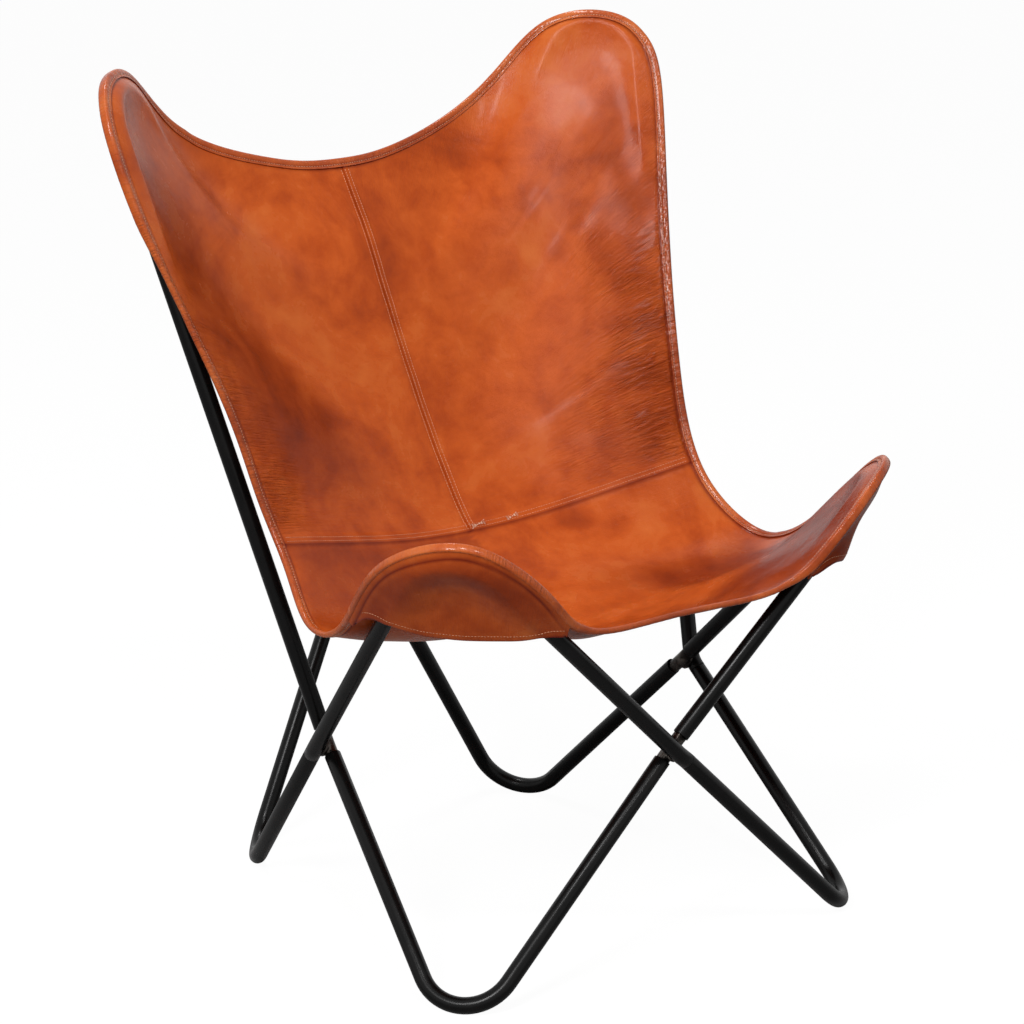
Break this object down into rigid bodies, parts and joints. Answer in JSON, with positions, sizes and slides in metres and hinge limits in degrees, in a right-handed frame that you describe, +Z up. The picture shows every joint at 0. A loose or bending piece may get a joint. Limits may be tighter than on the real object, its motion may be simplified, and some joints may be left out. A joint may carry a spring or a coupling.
{
  "type": "butterfly sling chair",
  "caption": "Low lounge chair: a sewn leather sling with four corner pockets hangs on the tips of a knock-down frame of two interlocked loops of bent black steel tube.",
  "frame": {"origin": "on the floor, midway between the left and right of the part and midway between its front and back", "axes": "+Z up; the sitter looks along -Y; +X is at the right of a person who stands in front of the chair and looks at it; metres"},
  "size_m": [0.7526, 0.6799, 0.9276],
  "materials": {
    "painted_tube": "semi-gloss black powder coat",
    "bare_spigot": "bare turned steel with a weld collar",
    "panel_leather": "glazed cognac hide, mottled",
    "border_leather": "glazed saddle leather binding"
  },
  "bodies": {
    "root": {"back_left_tip_tube": "painted_tube", "back_right_tip_tube": "painted_tube", "front_left_tip_tube": "painted_tube", "front_right_tip_tube": "painted_tube", "back_left_foot_tube": "painted_tube", "back_right_foot_tube": "painted_tube", "front_left_foot_tube": "painted_tube", "front_right_foot_tube": "painted_tube", "left_inline_spigot": "bare_spigot", "left_cross_spigot": "bare_spigot", "right_inline_spigot": "bare_spigot", "right_cross_spigot": "bare_spigot", "front_inline_spigot": "bare_spigot", "front_cross_spigot": "bare_spigot", "back_inline_spigot": "bare_spigot", "back_cross_spigot": "bare_spigot", "back_panel_left": "panel_leather", "back_panel_right": "panel_leather", "seat_panel": "panel_leather", "back_pocket_left": "panel_leather", "back_pocket_right": "panel_leather", "front_pocket_left": "panel_leather", "front_pocket_right": "panel_leather", "back_border": "border_leather", "seat_border": "border_leather"}
  },
  "joints": []
}
